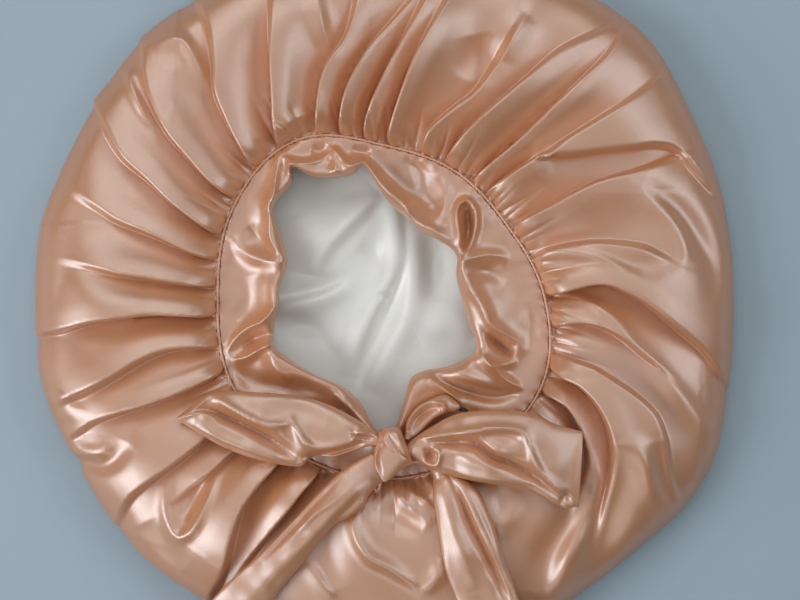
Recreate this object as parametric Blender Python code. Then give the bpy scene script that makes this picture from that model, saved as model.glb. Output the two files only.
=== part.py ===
"""Satin sleep bonnet, laid crown down with its gathered opening facing up and its tie in a bow.

Units are metres, +Z is up and the crown rests on the plane Z = 0. Angles are in degrees round the Z axis,
counted from +X towards +Y. The bow lies on the -Y side of the opening.
"""

import math

import bmesh
import bpy
from mathutils import Vector

# Driving sizes
CROWN_RADIUS = 0.1845  # the crown's outer edge, as the bonnet lies flat
CROWN_HEIGHT = 0.0370  # the puffed top of the crown above the floor
SEAM_RADIUS = 0.0860  # mean radius of the gathered seam round the opening
SEAM_HEIGHT = 0.0240  # the seam above the floor
CROWN_WALL = 0.0012  # peach satin
LINING_WALL = 0.0010  # cream satin
LINING_EASE = 0.0007  # slack between the lining and the crown, beside CLEARANCE
LINING_RELIEF = 0.0055  # height of the soft folds in the lining's floor
SEAM_CORD_RADIUS = 0.0011  # rolled and overlocked seam allowance
BAND_WALL = 0.0024  # two layers of satin
BAND_RISE = 0.0035  # the band's crest above the seam
BAND_DROP = 0.0085  # the band's free edge below the seam
KNOT_CENTRE_X = 0.0047
KNOT_CENTRE_Y = -0.0800
KNOT_HALF_WIDTH = 0.0105
KNOT_HALF_DEPTH = 0.0120
KNOT_HALF_HEIGHT = 0.0100
KNOT_SQUARENESS = 0.75  # 1 is an ellipsoid, less is closer to a box
KNOT_GROOVE_DEPTH = 0.12  # share of its radius
KNOT_GROOVES = ((0.0, 0.22), (0.75, 0.20))  # place across the slant and half width, as shares of its radius
KNOT_SLANT = (0.75, 0.65)  # direction across its grooves
TIE_WALL = 0.0012  # the tie is a flattened tube of satin
ELASTIC_LENGTH = 0.0078
ELASTIC_WIDTH = 0.0022
ELASTIC_THICKNESS = 0.0010
ELASTIC_TAPER = 0.4  # its width at the tip, as a share of the rest
CLEARANCE = 0.00035  # gap between pieces that touch

# Ring radius every 30 degrees, as a share of SEAM_RADIUS
SEAM_OUTLINE = (0.965, 0.855, 0.864, 0.907, 1.075, 1.050, 1.000, 1.058, 1.080, 1.100, 1.093, 1.093)

# Outer edge every 15 degrees, as a share of CROWN_RADIUS
CROWN_OUTLINE = (
    0.990, 1.000, 1.010, 1.045, 1.030, 1.005, 1.000, 0.995, 0.995, 1.005, 0.995, 0.995,
    0.988, 1.000, 0.990, 1.005, 1.000, 1.000, 1.000, 1.000, 1.010, 1.015, 1.048, 1.010,
)

# Crown section from the seam up and out: share of the way from seam to outer edge,
# share of the way up from SEAM_HEIGHT to CROWN_HEIGHT
CROWN_RISE = ((0.0, 0.0), (0.07, 0.33), (0.18, 0.66), (0.34, 0.94), (0.52, 1.0))
# and down round the outer edge to the floor: share of the way out, share of CROWN_HEIGHT
CROWN_FALL = ((0.70, 0.93), (0.85, 0.76), (0.95, 0.52), (1.0, 0.27), (0.965, 0.07), (0.88, 0.0))
CREASE_LIMIT = 0.45  # a crease takes at most this share of the cloth's height over the floor
FLOOR_RING = 0.45  # radius of the last ring of the flat underside, as a share of the outer edge

# Gathers that run out from the seam. Each row is the bottom of one crease:
# angle at the seam, half way and at the outer edge, reach as a share of that way,
# depth as a share of CROWN_HEIGHT, notch in the outer edge as a share of CROWN_RADIUS
CROWN_FOLDS = (
    (14, 13, 3, 0.80, 0.22, 0.000),
    (27, 28, 22, 0.95, 0.30, 0.000),
    (44, 42, 38, 1.05, 0.28, 0.005),
    (53, 48, 48, 1.20, 0.26, 0.012),
    (65, 57, 53, 0.95, 0.26, 0.000),
    (76, 66, 64, 0.60, 0.20, 0.000),
    (88, 82, 79, 0.85, 0.20, 0.000),
    (97, 88, 86, 0.80, 0.18, 0.000),
    (106, 95, 92, 0.85, 0.18, 0.000),
    (114, 102, 99, 0.90, 0.22, 0.000),
    (125, 115, 109, 1.10, 0.32, 0.000),
    (136, 129, 124, 0.95, 0.30, 0.000),
    (149, 143, 135, 1.05, 0.30, 0.004),
    (158, 155, 149, 0.95, 0.26, 0.000),
    (167, 164, 165, 0.75, 0.22, 0.000),
    (176, 176, 176, 0.70, 0.20, 0.000),
    (185, 184, 186, 1.20, 0.30, 0.012),
    (195, 193, 195, 0.65, 0.18, 0.000),
    (205, 204, 204, 0.95, 0.28, 0.000),
    (219, 217, 220, 1.05, 0.26, 0.004),
    (230, 227, 230, 0.80, 0.22, 0.000),
    (240, 236, 240, 1.15, 0.32, 0.004),
    (252, 248, 250, 0.75, 0.24, 0.000),
    (268, 265, 263, 0.90, 0.24, 0.000),
    (284, 282, 276, 0.95, 0.24, 0.000),
    (300, 297, 286, 0.85, 0.22, 0.000),
    (315, 308, 295, 0.90, 0.26, 0.000),
    (327, 319, 304, 0.80, 0.26, 0.000),
    (338, 329, 314, 1.10, 0.32, 0.006),
    (345, 339, 328, 0.85, 0.24, 0.000),
    (352, 349, 337, 1.05, 0.26, 0.000),
    (362, 359, 346, 0.90, 0.28, 0.000),
)
CROWN_COLUMNS = (0.0, 0.34, 0.66)  # places of the mesh columns between two creases: the crease, two shoulders
NOTCH_START = 0.8  # share of the way out where a notch in the outer edge starts
CREASE_SHARPNESS = 2.2  # 1 is a straight V, more is a narrower crease between rounder puffs
SEAM_FADE = 0.16  # share of the way over which a crease grows from the seam
END_FADE = 0.30  # share of the way over which a crease dies out

# Soft ridges in the lining's floor: start, bend and end as shares of SEAM_RADIUS, half width as such a share
LINING_RIDGES = (
    ((-0.02, 0.62), (-0.26, 0.30), (-0.52, 0.06), 0.13),
    ((0.14, 0.44), (0.10, 0.00), (-0.16, -0.52), 0.13),
    ((0.50, 0.30), (0.42, -0.10), (0.20, -0.40), 0.16),
)
LINING_SECTION = (0, 2, 3, 4, 5, 6, 8, 9, 10)  # the rows of the crown's section that the lining follows
LINING_RINGS = (0.60, 0.36, 0.16)  # rings of its floor, as shares of the last of them

# Free edge of the band: angle, radius as a share of SEAM_RADIUS
BAND_EDGE = (
    (0, 0.47), (15, 0.46), (28, 0.50), (45, 0.48), (60, 0.46), (75, 0.50), (88, 0.57),
    (98, 0.77), (108, 0.75), (118, 0.80), (126, 0.92), (134, 0.88), (143, 0.83), (151, 0.70),
    (160, 0.62), (175, 0.63), (186, 0.63), (195, 0.67), (205, 0.71), (214, 0.69), (228, 0.63),
    (244, 0.61), (258, 0.70), (271, 0.86), (282, 0.66), (291, 0.53), (301, 0.52), (317, 0.59),
    (329, 0.63), (343, 0.53),
)  # fmt: skip
RING_COLUMNS = 54  # steps round the opening of the band and of the rolled seam
# Band section: share of the way from seam to free edge, height share (1 is BAND_RISE, -1 is BAND_DROP)
BAND_SECTION = ((0.0, 0.0), (0.22, 0.8), (0.48, 1.0), (0.74, 0.1), (0.92, -0.6), (1.0, -1.0))
# Puckers of the band: angle, half width in degrees, depth as a share of BAND_RISE
BAND_PUCKERS = ((22, 9, 1.0), (62, 8, 0.7), (98, 6, 0.8), (126, 7, 1.0), (152, 6, 0.7), (203, 9, 1.0), (323, 8, 1.0))

# Tie pieces. Each row is one section: place of its middle, x and y from where the piece leaves the knot
# as shares of the piece's length, then width as a share of its width and height as a share of its thickness.
LEFT_LOOP = (
    (0.000, 0.000, 0.22, 0.55),
    (-0.067, 0.030, 0.44, 0.75),
    (-0.240, 0.045, 0.82, 1.00),
    (-0.373, 0.058, 0.99, 1.00),
    (-0.547, 0.075, 1.00, 0.95),
    (-0.685, 0.100, 0.91, 0.85),
    (-0.828, 0.130, 0.76, 0.65),
    (-0.914, 0.130, 0.49, 0.45),
    (-0.990, 0.128, 0.19, 0.28),
)
RIGHT_LOOP = (
    (0.000, 0.000, 0.21, 0.60),
    (0.121, 0.002, 0.57, 0.90),
    (0.266, 0.009, 0.83, 1.00),
    (0.470, -0.002, 0.95, 1.00),
    (0.645, -0.023, 1.00, 0.90),
    (0.795, -0.060, 0.96, 0.70),
    (0.916, -0.095, 0.93, 0.45),
    (0.995, -0.100, 0.87, 0.25),
)
LEFT_TAIL = (
    (0.000, 0.000, 0.42, 1.00),
    (-0.063, -0.055, 0.69, 1.10),
    (-0.144, -0.138, 0.88, 1.10),
    (-0.234, -0.235, 0.94, 1.00),
    (-0.325, -0.335, 0.96, 1.00),
    (-0.412, -0.432, 0.98, 0.95),
    (-0.475, -0.503, 1.00, 0.90),
    (-0.525, -0.570, 1.00, 0.90),
    (-0.566, -0.628, 1.00, 0.85),
    (-0.606, -0.697, 0.98, 0.80),
    (-0.641, -0.760, 0.95, 0.60),
)
RIGHT_TAIL = (
    (0.000, 0.000, 0.39, 1.00),
    (0.080, -0.052, 0.54, 1.05),
    (0.154, -0.133, 0.66, 1.10),
    (0.206, -0.242, 0.78, 1.10),
    (0.240, -0.355, 0.87, 1.00),
    (0.274, -0.475, 0.95, 1.00),
    (0.308, -0.580, 0.99, 0.95),
    (0.334, -0.667, 1.00, 0.90),
    (0.357, -0.742, 1.00, 0.90),
    (0.380, -0.821, 0.99, 0.80),
    (0.402, -0.908, 0.96, 0.60),
)
# Turned-up end of the band beside the knot
BAND_TUCK = (
    (0.000, 0.000, 0.50, 0.75),
    (0.185, 0.260, 0.93, 1.00),
    (0.463, 0.440, 1.00, 1.00),
    (0.778, 0.500, 0.73, 0.75),
    (0.963, 0.490, 0.37, 0.45),
)
# name, rows, angle round the knot where the piece leaves it, length, width, thickness, number of sides,
# depth of its channel as a share of its thickness, whether it lies over a tail
TIE_PIECES = (
    ("tie_tail_left", LEFT_TAIL, 195, 0.1600, 0.0260, 0.0050, 10, 0.0, False),
    ("tie_tail_right", RIGHT_TAIL, 340, 0.1330, 0.0304, 0.0050, 10, 0.0, False),
    ("bow_loop_left", LEFT_LOOP, 165, 0.0980, 0.0364, 0.0130, 14, 0.45, True),
    ("bow_loop_right", RIGHT_LOOP, 0, 0.0865, 0.0436, 0.0130, 14, 0.45, True),
    ("band_tuck", BAND_TUCK, 60, 0.0270, 0.0120, 0.0075, 10, 0.55, False),
)
CHANNEL_WIDTH = 0.28  # half width of a channel, as a share of its section's
NARROWEST = 0.3  # the hollow of a section is at least this share of its width
TAIL_STACK = 0.0061  # height of a tail where a loop lies over it
STACK_SECTIONS = (4.8, 4.0)  # the section where a loop is down on its bed, sections on the way down
KNOT_STANDOFF = 0.0008  # how far out of the knot the tie's own sections start
DRAPE_START = 0.72  # share of the way out where a tail starts to bridge the crown's shoulder
DRAPE_END = 1.10  # where it reaches the floor


# Interpolation


def periodic_share(shares, degrees):
    """Smooth value at an angle, through equally spaced values round a full turn."""
    count = len(shares)
    place = (degrees % 360) / 360 * count
    first = int(place) % count
    t = place - int(place)
    a, b, c, d = (shares[(first + k) % count] for k in (-1, 0, 1, 2))
    return b + 0.5 * t * (c - a + t * (2 * a - 5 * b + 4 * c - d + t * (3 * (b - c) + d - a)))


def table_share(rows, degrees):
    """Straight-line value at an angle, through unevenly spaced (angle, value) rows round a full turn."""
    return between((*rows, (rows[0][0] + 360, rows[0][1])), degrees % 360)


def between(rows, place):
    """Straight-line value at a place in (place, value) rows, or 0 outside them."""
    for (low, before), (high, after) in zip(rows, rows[1:]):
        if low <= place <= high:
            return before + (after - before) * (place - low) / (high - low)
    return 0.0


def fade(share):
    """Smooth step from 0 to 1."""
    share = min(max(share, 0.0), 1.0)
    return share * share * (3 - 2 * share)


def polar(radius, degrees, height):
    turn = math.radians(degrees)
    return Vector((radius * math.cos(turn), radius * math.sin(turn), height))


# Crown and lining


def seam_radius(degrees):
    return SEAM_RADIUS * periodic_share(SEAM_OUTLINE, degrees)


def gather_radius(degrees):
    """Where the crown's cloth starts, just outside the rolled seam."""
    return seam_radius(degrees) + SEAM_CORD_RADIUS + CLEARANCE


def crease_angle(fold, out):
    """Angle of a crease at a share of the way out, on a curve through its three angles."""
    at_seam, half_way, at_edge = fold[:3]
    return (
        at_seam * (1 - out) * (1 - 2 * out)
        + 4 * half_way * out * (1 - out)
        + at_edge * out * (2 * out - 1)
    )


def crease_depth(fold, out):
    reach, depth = fold[3], fold[4]
    return CROWN_HEIGHT * depth * fade(out / SEAM_FADE) * fade((reach - out) / END_FADE)


def columns():
    """(fold before, fold after, place between them) for each mesh column round the crown."""
    found = []
    for index, before in enumerate(CROWN_FOLDS):
        after = CROWN_FOLDS[(index + 1) % len(CROWN_FOLDS)]
        if after[0] < before[0]:
            after = (after[0] + 360, after[1] + 360, after[2] + 360, *after[3:])
        found.extend((before, after, place) for place in CROWN_COLUMNS)
    return found


def section_rows():
    """(share of the way out, height, whether it is the underside) for each ring of the crown."""
    rise = [(out, SEAM_HEIGHT + (CROWN_HEIGHT - SEAM_HEIGHT) * share, False) for out, share in CROWN_RISE]
    fall = [(out, CROWN_HEIGHT * share) for out, share in CROWN_FALL]
    widest = max(fall)[0]
    past = [out for out, _ in fall].index(widest)
    return rise + [(out, height, number > past) for number, (out, height) in enumerate(fall)]


def crown_point(column, out, height, under):
    """A point of the crown's outer face. Creases are only in its upper side."""
    before, after, place = column
    degrees = crease_angle(before, out) * (1 - place) + crease_angle(after, out) * place
    near, far = (1 - place) ** CREASE_SHARPNESS, place**CREASE_SHARPNESS
    start = gather_radius(degrees)
    notch = (before[5] * near + after[5] * far) * fade((out - NOTCH_START) / (1 - NOTCH_START))
    edge = CROWN_RADIUS * (periodic_share(CROWN_OUTLINE, degrees) - notch)
    drop = crease_depth(before, out) * near + crease_depth(after, out) * far
    drop = 0.0 if under else min(drop, CREASE_LIMIT * height)
    return polar(start + (edge - start) * out, degrees, height - drop)


def crown_rings():
    """Rings of the crown's outer face, from the seam over the top and round to the floor."""
    return [[crown_point(column, *row) for column in columns()] for row in section_rows()]


def make_crown():
    rings = crown_rings()
    floor = [Vector((p.x * FLOOR_RING, p.y * FLOOR_RING, 0.0)) for p in rings[-1]]
    return shell("crown", [*rings, floor], Vector((0, 0, 0)), CROWN_WALL, "peach_satin")


def inward(rings, number, k):
    """Unit vector into the crown at a point of its outer face."""
    ring = rings[number]
    along = ring[(k + 1) % len(ring)] - ring[k - 1]
    across = rings[min(number + 1, len(rings) - 1)][k] - rings[max(number - 1, 0)][k]
    return along.cross(across).normalized()


def lining_relief(point):
    """Height of the lining's soft floor folds at a point."""
    height = 0.0
    for start, bend, end, half_width in LINING_RIDGES:
        path = [Vector(p) * SEAM_RADIUS for p in (start, bend, end)]
        gap = min(distance_to_line(point.to_2d(), *pair) for pair in zip(path, path[1:]))
        height = max(height, math.exp(-((gap / (half_width * SEAM_RADIUS)) ** 2)))
    return LINING_RELIEF * height


def distance_to_line(point, start, end):
    along = end - start
    share = min(max((point - start).dot(along) / along.length_squared, 0.0), 1.0)
    return (point - start - along * share).length


def make_lining():
    """The lining follows the inside of the crown from the same seam, and lies in soft folds on its floor.

    Between two creases it has one column, half way between the crown's two shoulders.
    """
    offset = CROWN_WALL + CLEARANCE + LINING_EASE
    crown = crown_rings()
    rings = []
    for number in LINING_SECTION:
        inner = [p + inward(crown, number, k) * offset for k, p in enumerate(crown[number])]
        inner = [Vector((p.x, p.y, max(p.z, offset))) for p in inner]
        rings.append([])
        for crease, left, right in zip(inner[0::3], inner[1::3], inner[2::3]):
            rings[-1].extend((crease, (left + right) / 2))
    for share in LINING_RINGS:
        ring = [Vector((p.x * share, p.y * share, offset)) for p in rings[len(LINING_SECTION) - 1]]
        rings.append([p + Vector((0, 0, lining_relief(p))) for p in ring])
    centre = Vector((0, 0, offset))
    centre.z += lining_relief(centre)
    return shell("lining", rings, centre, LINING_WALL, "cream_satin")


# Seam and band


def make_seam_cord():
    """The rolled seam: a closed round cord along the ring."""
    curve = bpy.data.curves.new("seam_cord", "CURVE")
    curve.dimensions = "3D"
    curve.bevel_depth = SEAM_CORD_RADIUS
    curve.bevel_resolution = 1
    spline = curve.splines.new("POLY")
    spline.points.add(RING_COLUMNS - 1)
    for number, point in enumerate(spline.points):
        degrees = 360 * number / RING_COLUMNS
        point.co = (*polar(seam_radius(degrees), degrees, SEAM_HEIGHT), 1)
    spline.use_cyclic_u = True
    return add_object("seam_cord", curve, "peach_satin")


def band_point(degrees, across, height_share):
    start = seam_radius(degrees) - SEAM_CORD_RADIUS - CLEARANCE
    edge = SEAM_RADIUS * table_share(BAND_EDGE, degrees)
    height = SEAM_HEIGHT + height_share * (BAND_RISE if height_share > 0 else BAND_DROP)
    for angle, half_width, depth in BAND_PUCKERS:
        away = (degrees - angle + 180) % 360 - 180
        height -= depth * BAND_RISE * math.exp(-((away / half_width) ** 2)) * math.sin(math.pi * across)
    return polar(start + (edge - start) * across, degrees, height)


def make_band():
    """The band is sewn to the seam and turned into the opening."""
    turn = [360 * number / RING_COLUMNS for number in range(RING_COLUMNS)]
    rings = [[band_point(d, *section) for d in turn] for section in reversed(BAND_SECTION)]
    band = shell("band", rings, None, BAND_WALL, "peach_satin")
    band.modifiers["wall"].offset = 0.0
    return band


# Bow


def bed_height(x, y):
    """Top of what lies under a point: the band, the crown's puffs, or the floor beyond the outer edge."""
    radius, degrees = math.hypot(x, y), math.degrees(math.atan2(y, x))
    start = gather_radius(degrees)
    edge = CROWN_RADIUS * periodic_share(CROWN_OUTLINE, degrees)
    out = (radius - start) / (edge - start)
    if out <= 0:
        free_edge = SEAM_RADIUS * table_share(BAND_EDGE, degrees)
        share = between(BAND_SECTION, min((start - radius) / (start - free_edge), 1.0))
        return SEAM_HEIGHT + BAND_RISE * max(share, 0.0) + BAND_WALL / 2
    return max(section_height(out), drape_height(out))


def section_height(out):
    """Height of the crown's top without its creases."""
    return between([row[:2] for row in section_rows() if not row[2]], out)


def drape_height(out):
    if not DRAPE_START < out < DRAPE_END:
        return 0.0
    share = (out - DRAPE_START) / (DRAPE_END - DRAPE_START)
    return section_height(DRAPE_START) * math.sqrt(1 - share * share)


def squared(share):
    return math.copysign(abs(share) ** KNOT_SQUARENESS, share)


def place_rows(rows, knot_angle, length, width):
    """Rows of a tie piece in metres: (middle of the section, half width, height share)."""
    turn = math.radians(knot_angle)
    out = Vector((squared(math.cos(turn)) * KNOT_HALF_WIDTH, squared(math.sin(turn)) * KNOT_HALF_DEPTH))
    start = Vector((KNOT_CENTRE_X, KNOT_CENTRE_Y)) + out + out.normalized() * KNOT_STANDOFF
    return [(start + Vector((x, y)) * length, width * wide / 2, high) for x, y, wide, high in rows]


def section_frame(placed, index):
    """Unit vector across a tie piece at one of its sections, and the height where its underside is clear."""
    along = placed[min(index + 1, len(placed) - 1)][0] - placed[max(index - 1, 0)][0]
    side = Vector((-along.y, along.x)).normalized()
    middle, half_width, _ = placed[index]
    places = [middle + side * half_width * k for k in (-1, -0.5, 0, 0.5, 1)]
    return side, max(bed_height(*place) for place in places) + CLEARANCE


def section_loop(middle, side, base, half_width, height, inset, sides, dip):
    """Closed loop of points of one flattened section, moved in from the outer face by inset."""
    loop = []
    for number in range(sides):
        turn = 2 * math.pi * number / sides
        across, lift = math.cos(turn), math.sin(turn)
        place = middle + side * max(half_width - inset, NARROWEST * half_width) * across
        channel = dip * math.exp(-((across / CHANNEL_WIDTH) ** 2)) if lift > 0 else 0.0
        rise = max(height / 2 - inset, height / 4) * lift - height * channel
        loop.append(Vector((*place, base + height / 2 + rise)))
    return loop


def make_tie_piece(name, rows, knot_angle, length, width, thickness, sides, channel, over_tail):
    """A flattened hollow tube of satin, open where it leaves the knot and closed at its far end."""
    placed = place_rows(rows, knot_angle, length, width)
    outer, inner = [], []
    for index, (middle, half_width, high) in enumerate(placed):
        side, base = section_frame(placed, index)
        if over_tail:
            base += TAIL_STACK * fade((STACK_SECTIONS[0] - index) / STACK_SECTIONS[1])
        dip = channel if high > 0.5 else 0.0
        for loops, inset in ((outer, 0.0), (inner, TIE_WALL)):
            loops.append(section_loop(middle, side, base, half_width, thickness * high, inset, sides, dip))
    return hollow_loft(name, outer, inner[:-1], "peach_satin")


def make_knot():
    """The wrap at the middle of the bow: a rounded lump with two slanting grooves."""
    mesh = bmesh.new()
    bmesh.ops.create_uvsphere(mesh, u_segments=16, v_segments=10, radius=1.0)
    base = SEAM_HEIGHT + BAND_RISE + BAND_WALL / 2 + CLEARANCE
    for vert in mesh.verts:
        slant = vert.co.x * KNOT_SLANT[0] + vert.co.y * KNOT_SLANT[1]
        grooves = (math.exp(-(((slant - place) / half_width) ** 2)) for place, half_width in KNOT_GROOVES)
        groove = KNOT_GROOVE_DEPTH * sum(grooves)
        shrink = 1 - groove * max(vert.co.z, 0.0)
        vert.co = Vector((
            KNOT_CENTRE_X + squared(vert.co.x) * KNOT_HALF_WIDTH * shrink,
            KNOT_CENTRE_Y + squared(vert.co.y) * KNOT_HALF_DEPTH * shrink,
            base + KNOT_HALF_HEIGHT * (1 + squared(vert.co.z) * shrink),
        ))  # fmt: skip
    return add_mesh("bow_knot", mesh, "peach_satin")


def make_elastic_end():
    """The end of the elastic, a slim wedge that peeps out of the turned-up end of the band."""
    _, rows, knot_angle, length, width, *_ = TIE_PIECES[-1]
    tip, half_width, _ = place_rows(rows, knot_angle, length, width)[-1]
    middle = tip + Vector((half_width, -ELASTIC_LENGTH / 2))
    mesh = bmesh.new()
    bmesh.ops.create_cube(mesh, size=1.0)
    corners = []
    for vert in mesh.verts:
        taper = 1.0 if vert.co.x < 0 else ELASTIC_TAPER
        corners.append(middle + Vector((vert.co.x * ELASTIC_LENGTH, vert.co.y * ELASTIC_WIDTH * taper)))
    base = max(bed_height(*corner) for corner in corners) + CLEARANCE
    for vert, corner in zip(mesh.verts, corners):
        vert.co = Vector((*corner, base + ELASTIC_THICKNESS * (vert.co.z + 0.5)))
    return add_mesh("elastic_end", mesh, "dark_elastic")


# Mesh building


def skin_faces(mesh, rings):
    """Quads between neighbouring closed rings of vertices."""
    for lower, upper in zip(rings, rings[1:]):
        count = len(lower)
        for k in range(count):
            mesh.faces.new((lower[k], lower[(k + 1) % count], upper[(k + 1) % count], upper[k]))


def fan(mesh, ring, centre):
    for k, vert in enumerate(ring):
        mesh.faces.new((vert, ring[(k + 1) % len(ring)], centre))


def shell(name, rings, centre, wall, material):
    """A skin through rings, closed at centre if there is one, thickened inwards by Solidify."""
    mesh = bmesh.new()
    verts = [[mesh.verts.new(p) for p in ring] for ring in rings]
    skin_faces(mesh, verts)
    if centre is not None:
        fan(mesh, verts[-1], mesh.verts.new(centre))
    bmesh.ops.reverse_faces(mesh, faces=mesh.faces)
    obj = add_mesh(name, mesh, material)
    solidify = obj.modifiers.new("wall", "SOLIDIFY")
    solidify.thickness = wall
    solidify.offset = -1.0
    solidify.use_rim = True
    return obj


def hollow_loft(name, outer, inner, material):
    """A tube with a wall: open at its first section, closed at its last."""
    mesh = bmesh.new()
    skins = []
    for loops in (outer, inner):
        verts = [[mesh.verts.new(p) for p in loop] for loop in loops]
        skin_faces(mesh, verts)
        end = sum(loops[-1], Vector()) / len(loops[-1])
        fan(mesh, verts[-1], mesh.verts.new(end))
        skins.append(verts)
    skin_faces(mesh, [skins[0][0], skins[1][0]])
    bmesh.ops.recalc_face_normals(mesh, faces=mesh.faces)
    return add_mesh(name, mesh, material)


def add_mesh(name, mesh, material):
    data = bpy.data.meshes.new(name)
    mesh.to_mesh(data)
    mesh.free()
    data.shade_smooth()
    return add_object(name, data, material)


def add_object(name, data, material):
    obj = bpy.data.objects.new(name, data)
    bpy.context.scene.collection.objects.link(obj)
    data.materials.append(bpy.data.materials[material])
    return obj


def make_material(name, colour, roughness):
    material = bpy.data.materials.new(name)
    material.use_nodes = True
    shader = material.node_tree.nodes["Principled BSDF"]
    shader.inputs["Base Color"].default_value = (*colour, 1.0)
    shader.inputs["Roughness"].default_value = roughness
    shader.inputs["Metallic"].default_value = 0.0


def clear_scene():
    for obj in list(bpy.data.objects):
        bpy.data.objects.remove(obj)


def main():
    clear_scene()
    make_material("peach_satin", (0.80, 0.42, 0.26), 0.38)
    make_material("cream_satin", (0.82, 0.79, 0.68), 0.38)
    make_material("dark_elastic", (0.03, 0.025, 0.02), 0.7)
    make_crown()
    make_lining()
    make_seam_cord()
    make_band()
    make_knot()
    for piece in TIE_PIECES:
        make_tie_piece(*piece)
    make_elastic_end()


main()
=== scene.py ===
"""Looks of a satin sleep bonnet: its cloth, band, bow, lining and stitching, made round its solid model."""

import math

import bpy
import numpy as np
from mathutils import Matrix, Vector


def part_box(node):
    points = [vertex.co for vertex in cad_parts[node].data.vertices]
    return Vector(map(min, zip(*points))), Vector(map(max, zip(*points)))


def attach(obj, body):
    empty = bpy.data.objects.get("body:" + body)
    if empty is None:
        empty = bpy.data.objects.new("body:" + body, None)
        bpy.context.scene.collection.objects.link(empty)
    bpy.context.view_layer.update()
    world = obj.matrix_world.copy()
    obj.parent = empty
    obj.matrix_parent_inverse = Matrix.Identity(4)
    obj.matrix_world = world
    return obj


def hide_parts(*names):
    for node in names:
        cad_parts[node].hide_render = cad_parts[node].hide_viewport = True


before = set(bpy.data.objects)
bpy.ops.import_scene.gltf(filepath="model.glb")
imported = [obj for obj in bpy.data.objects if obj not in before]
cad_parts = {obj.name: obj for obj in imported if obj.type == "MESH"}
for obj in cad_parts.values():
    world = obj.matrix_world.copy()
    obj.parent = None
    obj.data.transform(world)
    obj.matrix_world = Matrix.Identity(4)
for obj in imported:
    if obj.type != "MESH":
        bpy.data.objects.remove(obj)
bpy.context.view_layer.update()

bl_info = {
    "name": "Satin sleep bonnet",
    "version": (1, 0, 0),
    "blender": (4, 5, 0),
    "location": "3D View > Sidebar > Bonnet",
    "description": "Dresses the solid model of a satin sleep bonnet in its folded cloth, bow and stitching",
    "category": "Object",
}

MM = 0.001
CROWN_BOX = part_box("crown")
CORD_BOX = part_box("seam_cord")
CROWN_RADIUS = (CROWN_BOX[1].y - CROWN_BOX[0].y) / 2
CROWN_TOP = CROWN_BOX[1].z + 0.2 * MM  # general height of the cloth round the opening
SEAM_HEIGHT = (CORD_BOX[0].z + CORD_BOX[1].z) / 2
CORD_RADIUS = (CORD_BOX[1].z - CORD_BOX[0].z) / 2
SEAM_RADIUS = 86 * MM  # mean radius of the gathered seam
LINING_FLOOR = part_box("lining")[0].z + 0.7 * MM

# The picture is 800 x 600 pixels, taken from straight above
PHOTO_WIDTH, PHOTO_HEIGHT = 800, 600
PHOTO_AXIS = (384, 296)  # pixel of the frame's Z axis
PHOTO_SCALE = 0.52 * MM  # one pixel at the reference height
REFERENCE_HEIGHT = 16 * MM
CLOTH_HEIGHT = 34 * MM  # where the folds drawn in pixels lie
EYE_HEIGHT = 1.4
EYE_X = (PHOTO_WIDTH / 2 - PHOTO_AXIS[0]) * PHOTO_SCALE
EYE_Y = (PHOTO_AXIS[1] - PHOTO_HEIGHT / 2) * PHOTO_SCALE


def plan(pixels, height=CLOTH_HEIGHT):
    """Places in the plan, in metres, of picture pixels seen at a height."""
    pixels = np.asarray(pixels, float)
    scale = PHOTO_SCALE * (EYE_HEIGHT - height) / (EYE_HEIGHT - REFERENCE_HEIGHT)
    x = EYE_X + (pixels[..., 0] - PHOTO_WIDTH / 2) * scale
    y = EYE_Y - (pixels[..., 1] - PHOTO_HEIGHT / 2) * scale
    return np.stack([x, y], -1)


# Curves and tables


def fade(share):
    """Smooth step from 0 to 1."""
    share = np.clip(share, 0.0, 1.0)
    return share * share * (3 - 2 * share)


def spline(points, count):
    """Evenly spaced places on a smooth open curve through points of any dimension."""
    points = np.asarray(points, float)
    padded = np.vstack([2 * points[0] - points[1], points, 2 * points[-1] - points[-2]])
    spans = len(points) - 1
    fine = np.linspace(0, spans, spans * 24 + 1)
    k = np.minimum(fine.astype(int), spans - 1)
    t = (fine - k)[:, None]
    a, b, c, d = (padded[k + j] for j in range(4))
    curve = b + 0.5 * t * (c - a + t * (2 * a - 5 * b + 4 * c - d + t * (3 * (b - c) + d - a)))
    steps = np.linalg.norm(np.diff(curve, axis=0), axis=1)
    length = np.concatenate([[0], np.cumsum(steps)])
    places = np.linspace(0, length[-1], count)
    return np.stack([np.interp(places, length, curve[:, k]) for k in range(curve.shape[1])], -1)


def along_table(values, shares):
    """Smooth value at shares of the way through evenly spaced values."""
    curve = spline(np.stack([np.linspace(0, 1, len(values)), values], -1), 200)
    return np.interp(shares, curve[:, 0], curve[:, 1])


def round_table(rows, degrees):
    """Smooth value at angles, through unevenly spaced (angle, value) rows round a full turn."""
    rows = np.asarray(rows, float)
    angles = np.concatenate([rows[-2:, 0] - 360, rows[:, 0], rows[:2, 0] + 360])
    values = np.concatenate([rows[-2:, 1], rows[:, 1], rows[:2, 1]])
    degrees = np.mod(degrees - rows[0, 0], 360) + rows[0, 0]
    k = np.clip(np.searchsorted(angles, degrees, side="right") - 1, 1, len(angles) - 3)
    gap = angles[k + 1] - angles[k]
    t = (degrees - angles[k]) / gap
    before = (values[k + 1] - values[k - 1]) / (angles[k + 1] - angles[k - 1]) * gap
    after = (values[k + 2] - values[k]) / (angles[k + 2] - angles[k]) * gap
    a, b = values[k], values[k + 1]
    return a + t * (before + t * (3 * (b - a) - 2 * before - after + t * (2 * (a - b) + before + after)))


def even_table(shares, degrees):
    """The same through equally spaced values."""
    step = 360 / len(shares)
    return round_table([(k * step, share) for k, share in enumerate(shares)], degrees)


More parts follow.
